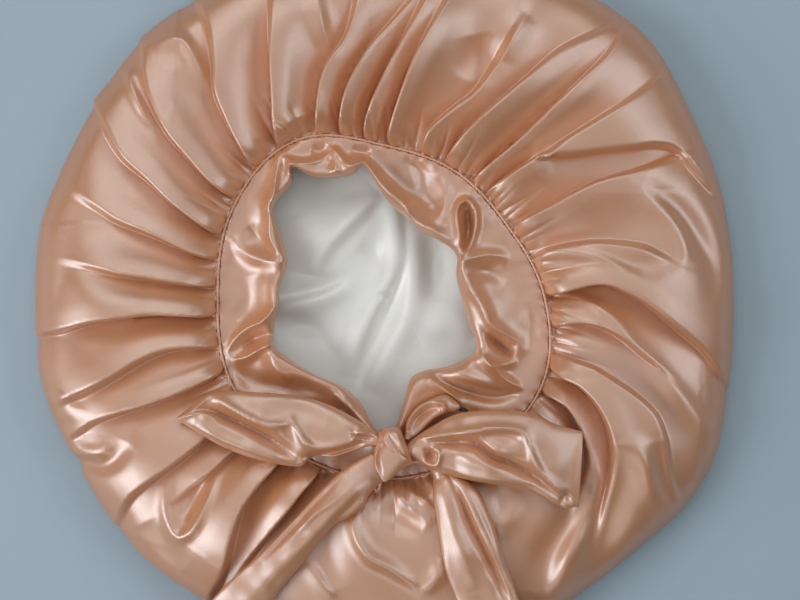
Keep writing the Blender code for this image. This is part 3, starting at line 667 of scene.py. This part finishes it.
def make_band(material):
    """The band: two turned layers sewn to the seam, drawn into the opening and puffed along the free edge."""
    sizes = bpy.context.scene.bonnet_sizes
    columns, count = 900, 50
    degrees, way = directions(columns)
    seam = seam_radius(degrees) - 0.6 * CORD_RADIUS
    edge = SEAM_RADIUS * round_table(BAND_EDGE, degrees)
    section = spline(np.array(BAND_SECTION) * (1.0, 1 / 45), count)
    rise = section[:, 1:] * 45 * MM
    radius = seam + (edge - seam) * section[:, :1]
    places = (radius[..., None] * way).reshape(-1, 2)
    relief = stroke_height(places, BAND_STROKES) * sizes.fold_depth
    relief += 0.7 * MM * ripple(31, places / (9 * MM), 18, 0.5, 1.8) * sizes.wrinkles
    relief += 0.2 * MM * ripple(33, places / (3.5 * MM), 18, 0.5, 1.8) * sizes.wrinkles
    fold = int(np.argmax(section[:, 0]))
    top = (np.arange(count) <= fold)[:, None]
    hold = fade(section[:, :1] / 0.22) * np.where(top, 1.0, 0.7)
    pinch = np.sin(np.radians(degrees) * 71 + 2.2 * np.sin(np.radians(degrees) * 9)) * np.exp(-section[:, :1] / 0.07)
    height = SEAM_HEIGHT + rise + hold * relief.reshape(radius.shape) + 0.35 * MM * pinch
    height = np.maximum(height, LINING_FLOOR + 3 * MM)
    points = np.concatenate([places.reshape(*radius.shape, 2), height[..., None]], -1).reshape(-1, 3)
    obj = new_piece("band_satin", points, grid_faces(count, columns, closed_columns=True), material)
    thicken(obj, 0.8 * MM)
    return obj


# Seam


def seam_stitch_count():
    return round(2 * math.pi * SEAM_RADIUS / bpy.context.scene.bonnet_sizes.stitch_pitch)


def make_seam_roll(material):
    """The rolled seam allowance, drawn in by an overlock thread at every stitch."""
    degrees, way = directions(1800)
    radius = seam_radius(degrees)
    path = np.concatenate([radius[:, None] * way, np.full((len(way), 1), SEAM_HEIGHT + 0.5 * MM)], -1)
    puff = CORD_RADIUS * (0.66 + 0.10 * np.abs(np.sin(np.radians(degrees) * seam_stitch_count() / 2)))
    points, faces = tube(path, puff, 10, closed=True)
    return new_piece("seam_roll", points, faces, material)


# One overlock stitch: share of its pitch, way in from the roll's axis and height, in cord radii
STITCH_PATH = ((0.2, -0.75, 0.2), (0.35, -0.2, 0.72), (0.5, 0.6, 0.55), (0.62, 1.5, 0.2))
THREAD_RADIUS = 0.15 * MM


def make_stitches(material):
    """Overlock thread: a slanting stitch over the roll and a loop on its inner side, over and over."""
    stitches = seam_stitch_count()
    steps, inset, rise = np.array(STITCH_PATH).T
    points, faces, start = [], [], 0
    for k in range(stitches):
        degrees = (k + steps) * 360 / stitches
        turn = np.radians(degrees)
        radius = seam_radius(degrees) - inset * CORD_RADIUS
        height = SEAM_HEIGHT + 0.5 * MM + rise * CORD_RADIUS
        path = spline(np.stack([radius * np.cos(turn), radius * np.sin(turn), height], -1), 7)
        some, quads = tube(path, THREAD_RADIUS, 5)
        points.append(some)
        faces += [tuple(v + start for v in quad) for quad in quads]
        start += len(some)
    return new_piece("seam_stitches", np.vstack(points), faces, material)


# Bow


DRAPE_START = 0.72  # share of the way out where a tail starts to bridge the crown's shoulder
DRAPE_END = 1.12  # where it reaches the floor


def bed(places):
    """Top of what lies under places in the plan: band, crown, or the floor beyond the rim."""
    degrees = np.degrees(np.arctan2(places[..., 1], places[..., 0]))
    seam, rim = seam_radius(degrees), rim_radius(degrees)
    out = (np.linalg.norm(places, axis=-1) - seam) / (rim - seam)
    shares, heights = np.array(CROWN_RISE).T
    crown = np.where(out > 1, 0.0, np.interp(out, shares, heights) * CROWN_TOP)
    drape = (out - DRAPE_START) / (DRAPE_END - DRAPE_START)
    start = np.interp(DRAPE_START, shares, heights) * CROWN_TOP
    bridge = np.where((drape > 0) & (drape < 1), start * np.sqrt(np.clip(1 - drape**2, 0, 1)), 0.0)
    return np.where(out < 0, SEAM_HEIGHT + 4 * MM, np.maximum(crown, bridge))


def make_pillow(name, material, left, right, lifts, puffs, strokes, seed, crisp=0.62):
    """A flattened tube of cloth between two edges drawn in picture pixels, both starting at its knot end.

    lifts are its underside's heights over what it lies on and puffs its thickness, both in mm at even steps
    along it. strokes are ridges and channels in its upper face. A lower crisp gives a flatter face with
    sharper edges.
    """
    across, along = 92, 150
    one, two = (spline(plan(side), along) for side in (left, right))
    steps = np.linspace(0, 1, along)
    base = along_table(lifts, steps) * MM
    puff = along_table(puffs, steps) * MM
    under = np.max([bed(one + (two - one) * share) for share in (0.1, 0.3, 0.5, 0.7, 0.9)], 0)
    base = base + np.convolve(np.pad(under, 4, mode="edge"), np.ones(9) / 9, "valid")
    turn = np.arange(across) * 2 * math.pi / across
    shares = 0.5 - 0.5 * np.cos(turn)
    round_off = np.abs(np.sin(turn)) ** crisp
    top = turn < math.pi
    flat = one[:, None] + (two - one)[:, None] * shares[None, :, None]
    places = flat.reshape(-1, 2)
    carve = stroke_height(places, strokes)
    carve += 0.35 * MM * ripple(seed, places / (8 * MM), 16, 0.5, 2.0)
    carve += 0.12 * MM * ripple(seed + 50, places / (3 * MM), 16, 0.5, 2.0)
    up = np.where(top, 0.65, -0.35) * round_off
    height = base[:, None] + puff[:, None] * (0.35 + up)
    height += np.where(top, round_off, 0.0) * carve.reshape(along, across)
    points = np.concatenate([flat, height[..., None]], -1).reshape(-1, 3)
    faces = grid_faces(along, across, closed_columns=True)
    last = (along - 1) * across
    faces.append([last + k for k in range(across)])
    faces.append([k for k in range(across)][::-1])
    return new_piece(name, points, faces, material)


# Loops, tails and knot: edges in picture pixels, lifts and puffs in mm, strokes as above, and the solid each
# stands for
BOW = {
    "left_tail_satin": {
        "nodes": ("tie_tail_left",),
        "flat": (0.160, 0.030),
        "left": ((372, 452), (344, 468), (316, 495), (291, 522), (266, 548), (233, 578), (212, 600), (196, 622),
                 (184, 640), (168, 672), (154, 704)),
        "right": ((388, 474), (369, 495), (364, 506), (350, 516), (333, 526), (306, 559), (283, 586), (264, 612),
                  (248, 640), (228, 674), (208, 706)),
        "lifts": (7.0, 3.0, 1.0, 0.6, 0.5, 0.5, 0.5, 0.6, 0.6, 0.6),
        "puffs": (7.0, 9.5, 9.0, 8.0, 7.5, 7.0, 6.5, 6.0, 5.5, 4.5),
        "strokes": (
            (((372, 470), (346, 500), (312, 536), (278, 568), (240, 610)), 2.0, 4.0, 4.5, 0.1),
            (((352, 486), (330, 503), (314, 514), (290, 540)), 1.5, 2.0, 3.0, 0.4),
            (((340, 478), (316, 502), (290, 530), (262, 560)), -2.4, 1.6, 2.2, 0.4),
            (((362, 492), (348, 508), (330, 522)), -1.6, 2.5, 2.5, 0.2),
        ),
    },
    "right_tail_satin": {
        "nodes": ("tie_tail_right",),
        "flat": (0.140, 0.034),
        "left": ((410, 462), (424, 466), (433, 476), (433, 496), (436, 515), (440, 540), (445, 569), (455, 596),
                 (462, 620), (468, 640), (476, 672), (484, 703)),
        "right": ((420, 458), (452, 472), (476, 488), (493, 523), (503, 556), (513, 583), (521, 606), (528, 628),
                  (533, 640), (541, 670), (548, 700)),
        "lifts": (6.0, 3.0, 1.2, 0.6, 0.5, 0.5, 0.5, 0.6, 0.6, 0.6),
        "puffs": (6.0, 8.0, 8.0, 7.5, 7.0, 6.5, 6.5, 6.0, 5.5, 4.5),
        "strokes": (
            (((448, 474), (460, 496), (470, 522), (485, 552), (499, 581), (512, 612)), -6.5, 2.0, 2.4, 0.75),
            (((458, 480), (470, 504), (482, 530), (496, 560), (508, 590)), 2.4, 1.8, 1.8, 0.5),
            (((478, 500), (490, 526), (500, 556), (509, 584)), 1.2, 2.0, 2.0, 0.3),
            (((442, 486), (450, 520), (462, 552), (474, 592)), 2.0, 4.0, 5.0, 0.1),
        ),
    },
    "left_loop_satin": {
        "nodes": ("bow_loop_left",),
        "flat": (0.106, 0.036),
        "left": ((381, 436), (359, 420), (326, 403), (293, 395), (243, 391), (213, 392), (196, 402), (178, 417)),
        "right": ((380, 446), (368, 446), (357, 449), (335, 456), (313, 456), (299, 466), (262, 460), (230, 449),
                  (205, 436), (178, 419)),
        "lifts": (9.0, 7.0, 5.5, 4.5, 3.5, 3.0, 2.5, 2.0),
        "puffs": (6.0, 11.0, 13.0, 14.0, 13.0, 11.0, 8.0, 3.0),
        "strokes": (
            (((192, 413), (208, 409), (228, 417), (254, 429), (280, 444), (298, 458)), -9.0, 3.4, 3.0, 0.5),
            (((300, 456), (318, 455), (345, 449), (366, 441)), -7.0, 2.4, 2.4, 0.5),
            (((212, 394), (222, 400), (241, 412), (263, 423), (280, 424), (293, 420)), 4.5, 3.0, 2.4, 0.6),
            (((291, 418), (299, 431), (307, 442), (320, 447), (345, 444), (362, 434)), 4.5, 3.0, 2.2, 0.6),
            (((180, 417), (196, 408), (212, 394)), 2.5, 2.0, 2.0, 0.5),
            (((184, 417), (202, 412), (222, 418)), 3.0, 1.6, 2.4, 0.5),
            (((196, 424), (222, 438), (250, 449), (280, 459), (300, 464)), 3.0, 3.0, 3.0, 0.3),
            (((305, 462), (322, 458), (345, 454), (368, 446)), 3.0, 2.0, 2.0, 0.4),
            (((262, 404), (296, 406), (330, 418)), -1.8, 6.0, 6.0, 0.0),
            (((352, 440), (358, 432), (370, 432)), 2.6, 1.6, 1.6, 0.5),
            (((350, 430), (364, 436), (374, 438)), -3.0, 1.4, 1.4, 0.5),
        ),
    },
    "right_loop_satin": {
        "nodes": ("bow_loop_right",),
        "flat": (0.092, 0.042),
        "left": ((407, 446), (411, 440), (430, 427), (458, 413), (499, 409), (535, 414), (554, 423), (582, 431)),
        "right": ((410, 456), (422, 463), (433, 469), (458, 477), (485, 482), (526, 489), (560, 506), (578, 506)),
        "lifts": (8.0, 6.5, 5.5, 4.5, 4.0, 3.5, 3.0, 2.5),
        "puffs": (6.0, 11.0, 13.0, 14.0, 13.0, 11.0, 9.0, 5.0),
        "strokes": (
            (((424, 440), (446, 441), (474, 443), (492, 455), (514, 463), (538, 477), (560, 496), (570, 505)),
             -9.0, 2.6, 3.0, 0.55),
            (((418, 438), (444, 434), (472, 430), (494, 427), (520, 430), (527, 446)), 4.5, 3.0, 2.2, 0.6),
            (((527, 440), (532, 458), (541, 474), (555, 488), (566, 500), (576, 504)), 4.5, 2.6, 2.2, 0.6),
            (((480, 434), (500, 434), (520, 438)), -3.0, 3.0, 4.0, 0.2),
            (((476, 436), (500, 452), (524, 466), (552, 486)), 2.6, 1.8, 1.6, 0.5),
            (((444, 464), (472, 477), (500, 479), (534, 482)), 3.0, 3.0, 3.0, 0.3),
            (((436, 448), (470, 460), (506, 472)), 1.5, 4.0, 4.0, 0.1),
            (((560, 505), (564, 494), (570, 504)), -4.0, 1.6, 1.6, 0.4),
            (((583, 434), (580, 460), (578, 500)), 1.5, 2.0, 3.0, 0.4),
            (((424, 456), (429, 455), (434, 455)), -6.0, 3.4, 3.4, 0.1),
            (((424, 462), (436, 464), (439, 452), (432, 445)), 2.6, 1.4, 1.4, 0.5),
        ),
    },
    "knot_wrap_satin": {
        "nodes": ("bow_knot",),
        "flat": (0.030, 0.018),
        "left": ((386, 427), (399, 428), (404, 438), (409, 450), (413, 461)),
        "right": ((378, 432), (379, 440), (385, 448), (394, 457), (406, 464)),
        "lifts": (1.0, 1.0, 1.0, 1.0, 1.0),
        "puffs": (14.5, 18.0, 19.0, 17.5, 13.5),
        "crisp": 0.28,
        "strokes": (
            (((388, 430), (393, 440), (403, 456)), -1.5, 0.9, 0.9, 0.6),
            (((396, 430), (400, 441), (408, 456)), 1.0, 1.0, 1.0, 0.5),
            (((383, 433), (386, 442), (396, 454)), 1.0, 1.0, 1.0, 0.5),
        ),
    },
    "knot_flap_satin": {
        "nodes": (),
        "flat": (0.022, 0.016),
        "left": ((379, 440), (385, 442), (396, 449), (405, 456), (414, 462)),
        "right": ((374, 450), (374, 463), (380, 474), (386, 480), (402, 467)),
        "lifts": (14.0, 17.0, 18.0, 17.0, 14.0),
        "puffs": (2.0, 2.4, 2.4, 2.2, 1.6),
        "crisp": 0.2,
        "strokes": (
            (((383, 442), (378, 456), (382, 474)), -1.8, 0.8, 0.8, 0.6),
            (((380, 443), (375, 456), (379, 472)), 1.2, 0.8, 0.8, 0.5),
        ),
    },
    "knot_twist_satin": {
        "nodes": (),
        "flat": (0.016, 0.010),
        "left": ((374, 464), (371, 474), (371, 484), (374, 492)),
        "right": ((386, 470), (383, 480), (381, 488), (378, 493)),
        "lifts": (8.0, 6.0, 4.0, 2.0),
        "puffs": (5.0, 5.0, 4.0, 3.0),
        "strokes": (
            (((380, 470), (376, 480), (376, 490)), -2.4, 0.9, 0.9, 0.5),
            (((376, 470), (373, 480), (374, 490)), 1.4, 0.8, 0.8, 0.5),
        ),
    },
    "band_end_twist": {
        "nodes": ("band_tuck",),
        "flat": (0.034, 0.016),
        "left": ((404, 438), (407, 421), (417, 407), (431, 399), (446, 395), (457, 402)),
        "right": ((410, 440), (420, 434), (434, 420), (447, 413), (456, 412), (461, 408)),
        "lifts": (3.0, 2.0, 1.5, 1.5, 1.5, 1.5),
        "puffs": (7.0, 8.0, 8.0, 8.0, 7.0, 4.0),
        "strokes": (
            (((409, 434), (416, 420), (428, 410), (440, 407)), -5.0, 2.0, 3.0, 0.3),
            (((406, 432), (411, 416), (424, 403), (444, 396)), 2.4, 1.2, 1.2, 0.5),
            (((432, 402), (443, 404), (446, 414)), 2.6, 1.4, 1.4, 0.5),
        ),
    },
}


def make_slit_strip(material):
    """A short flat dark ribbed strip that fills the dark slit at the turned-up band end."""
    low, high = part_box("elastic_end")
    # a short dark strip laid into the dark slit where the band end turns up
    corners = plan(((450, 405), (468, 411)), (low.z + high.z) / 2)
    path = np.column_stack([spline(corners, 8), np.full(8, (low.z + high.z) / 2)])
    points, faces = tube(path, np.linspace(2.2, 0.7, 8) * MM, 12)
    points[:, 2] = (low.z + high.z) / 2 + 0.35 * (points[:, 2] - (low.z + high.z) / 2)
    faces += [list(range(12)), list(range(len(points) - 12, len(points)))[::-1]]
    return new_piece("dark_slit_piece", points, faces, material)


# Stage


# Lights: name, azimuth and elevation in degrees, distance m, width m, height m, brightness, colour
WINDOWS = (
    ("window_back", 96, 46, 1.6, 1.6, 0.85, 1.6, "FFFFFF"),
    ("window_right", 12, 42, 1.6, 1.1, 0.80, 1.9, "FAFDFF"),
    ("window_left", 198, 36, 1.6, 1.2, 0.90, 4.0, "FAFBFF"),
    ("window_front", 262, 40, 1.7, 0.9, 0.50, 1.3, "FFFFFF"),
    ("ceiling", 90, 89, 1.8, 1.3, 1.3, 0.62, "EEF6FA"),
)


def make_lights():
    for name, azimuth, elevation, distance, width, height, brightness, colour in WINDOWS:
        light = bpy.data.lights.new(name, "AREA")
        light.shape = "RECTANGLE"
        light.size = width
        light.size_y = height
        light.energy = brightness * math.pi * width * height
        light.color = linear(colour)[:3]
        lamp = bpy.data.objects.new(name, light)
        turn, lift = math.radians(azimuth), math.radians(elevation)
        place = Vector((math.cos(turn) * math.cos(lift), math.sin(turn) * math.cos(lift), math.sin(lift)))
        lamp.location = place * distance
        lamp.rotation_euler = place.to_track_quat("Z", "Y").to_euler()
        bpy.context.scene.collection.objects.link(lamp)
    world = bpy.data.worlds.new("soft_room")
    bpy.context.scene.world = world
    world.use_nodes = True
    background = world.node_tree.nodes["Background"]
    background.inputs["Color"].default_value = linear("DDE3EA")
    background.inputs["Strength"].default_value = 0.09
    bpy.context.scene.view_settings.view_transform = "Standard"


def make_floor():
    """A plain floor of smooth pale leatherette: close fine creases that only show where light grazes it."""
    size = 3.0
    mesh = bpy.data.meshes.new("floor")
    mesh.from_pydata([(-size, -size, 0), (size, -size, 0), (size, size, 0), (-size, size, 0)], [], [(0, 1, 2, 3)])
    floor = bpy.data.objects.new("floor", mesh)
    floor.location.z = -0.2 * MM
    bpy.context.scene.collection.objects.link(floor)
    material = bpy.data.materials.new("pale_leatherette")
    material.use_nodes = True
    tree = material.node_tree
    shader = tree.nodes["Principled BSDF"]
    place = add_node(tree, "ShaderNodeTexCoord").outputs["Object"]
    grain = add_node(tree, "ShaderNodeTexVoronoi", {"feature": "DISTANCE_TO_EDGE"},
                     {"Vector": place, "Scale": 1 / (5 * MM)})
    bump = add_node(tree, "ShaderNodeBump", None,
                    {"Height": grain.outputs["Distance"], "Strength": 0.10, "Distance": 0.4 * MM})
    tree.links.new(bump.outputs["Normal"], shader.inputs["Normal"])
    shader.inputs["Base Color"].default_value = (*bpy.context.scene.bonnet_colours.floor, 1.0)
    shader.inputs["Roughness"].default_value = 0.6
    mesh.materials.append(material)
    return floor


def make_camera():
    camera = bpy.data.cameras.new("camera")
    camera.sensor_width = 36.0
    camera.lens = camera.sensor_width * (EYE_HEIGHT - REFERENCE_HEIGHT) / (PHOTO_WIDTH * PHOTO_SCALE)
    eye = bpy.data.objects.new("camera", camera)
    eye.location = (EYE_X, EYE_Y, EYE_HEIGHT)
    bpy.context.scene.collection.objects.link(eye)
    bpy.context.scene.camera = eye


# Settings that a user may change


class BonnetSizes(bpy.types.PropertyGroup):
    fold_depth: bpy.props.FloatProperty(
        name="Fold depth", description="Depth of gathers and puckers against the real ones",
        default=1.0, min=0.0, max=1.5, subtype="FACTOR")
    wrinkles: bpy.props.FloatProperty(
        name="Wrinkles", description="Strength of the small uneven waves in the cloth",
        default=1.0, min=0.0, max=3.0, subtype="FACTOR")
    stitch_pitch: bpy.props.FloatProperty(
        name="Stitch pitch", description="Distance between overlock stitches along the seam",
        default=2.4 * MM, min=1 * MM, max=8 * MM, unit="LENGTH")


def colour_property(name, description, colour):
    return bpy.props.FloatVectorProperty(
        name=name, description=description, size=3, default=linear(colour)[:3], min=0.0, max=1.0, subtype="COLOR")


class BonnetColours(bpy.types.PropertyGroup):
    satin: colour_property("Satin", "Ground colour of the satin", "D08C58")
    satin_deep: colour_property("Satin slubs", "Deeper tone where the yarn is thick", "C8824E")
    lining: colour_property("Lining", "Ground colour of the lining", "F4F5EE")
    lining_deep: colour_property("Lining slubs", "Deeper tone where the lining's yarn is thick", "EFEFE6")
    floor: colour_property("Floor", "Colour of the plain floor", "A7B9C5")


# Operators, one for each piece or group of like pieces


class BONNET_OT_stage(bpy.types.Operator):
    """Add the camera over the bonnet, the plain floor and the soft studio light"""

    bl_idname = "bonnet.stage"
    bl_label = "Stage"

    def execute(self, context):
        make_camera()
        make_lights()
        make_floor()
        return {"FINISHED"}


class BONNET_OT_crown(bpy.types.Operator):
    """Add the gathered satin bag"""

    bl_idname = "bonnet.crown"
    bl_label = "Crown"

    def execute(self, context):
        dress(make_crown(peach_satin()), "peach_satin", "crown")
        return {"FINISHED"}


class BONNET_OT_lining(bpy.types.Operator):
    """Add the cream lining inside the bag"""

    bl_idname = "bonnet.lining"
    bl_label = "Lining"

    def execute(self, context):
        lining = dress(make_lining(cream_satin()), "cream_satin", "lining")
        return {"FINISHED"}


class BONNET_OT_band(bpy.types.Operator):
    """Add the wide puckered band that is turned into the opening"""

    bl_idname = "bonnet.band"
    bl_label = "Band"

    def execute(self, context):
        band = dress(make_band(peach_satin()), "peach_satin", "band")
        return {"FINISHED"}


class BONNET_OT_seam(bpy.types.Operator):
    """Add the rolled seam and its overlock stitches"""

    bl_idname = "bonnet.seam"
    bl_label = "Seam"

    def execute(self, context):
        roll = dress(make_seam_roll(peach_satin()), "peach_satin", "seam_cord")
        stitches = dress(make_stitches(stitch_thread()), "peach_satin")
        return {"FINISHED"}


class BONNET_OT_bow(bpy.types.Operator):
    """Add the loops, tails and knot of the bow, and the band's turned-up end"""

    bl_idname = "bonnet.bow"
    bl_label = "Bow"

    def execute(self, context):
        for seed, (name, shape) in enumerate(BOW.items()):
            shape = dict(shape)
            nodes, flat = shape.pop("nodes"), shape.pop("flat")
            piece = dress(make_pillow(name, peach_satin(), seed=seed, **shape), "peach_satin", *nodes)
        return {"FINISHED"}


class BONNET_OT_slit_strip(bpy.types.Operator):
    """Add the short dark ribbed strip in the slit at the turned-up band end"""

    bl_idname = "bonnet.elastic"
    bl_label = "Elastic"

    def execute(self, context):
        dress(make_slit_strip(dark_ribbed_strip()), "dark_elastic", "elastic_end")
        return {"FINISHED"}


OPERATORS = (
    BONNET_OT_stage, BONNET_OT_crown, BONNET_OT_lining, BONNET_OT_band, BONNET_OT_seam, BONNET_OT_bow,
    BONNET_OT_slit_strip,
)


class BONNET_PT_sidebar(bpy.types.Panel):
    bl_label = "Bonnet"
    bl_idname = "BONNET_PT_sidebar"
    bl_space_type = "VIEW_3D"
    bl_region_type = "UI"
    bl_category = "Bonnet"

    def draw(self, context):
        for group in (context.scene.bonnet_sizes, context.scene.bonnet_colours):
            for name in group.__annotations__:
                self.layout.prop(group, name)
        for operator in OPERATORS:
            self.layout.operator(operator.bl_idname)


CLASSES = (BonnetSizes, BonnetColours, *OPERATORS, BONNET_PT_sidebar)


def register():
    for some_class in CLASSES:
        bpy.utils.register_class(some_class)
    bpy.types.Scene.bonnet_sizes = bpy.props.PointerProperty(type=BonnetSizes)
    bpy.types.Scene.bonnet_colours = bpy.props.PointerProperty(type=BonnetColours)


def unregister():
    del bpy.types.Scene.bonnet_sizes
    del bpy.types.Scene.bonnet_colours
    for some_class in reversed(CLASSES):
        bpy.utils.unregister_class(some_class)


def main():
    register()
    bpy.ops.bonnet.stage()
    bpy.ops.bonnet.crown()
    bpy.ops.bonnet.lining()
    bpy.ops.bonnet.band()
    bpy.ops.bonnet.seam()
    bpy.ops.bonnet.bow()
    bpy.ops.bonnet.elastic()


if __name__ == "__main__":
    main()
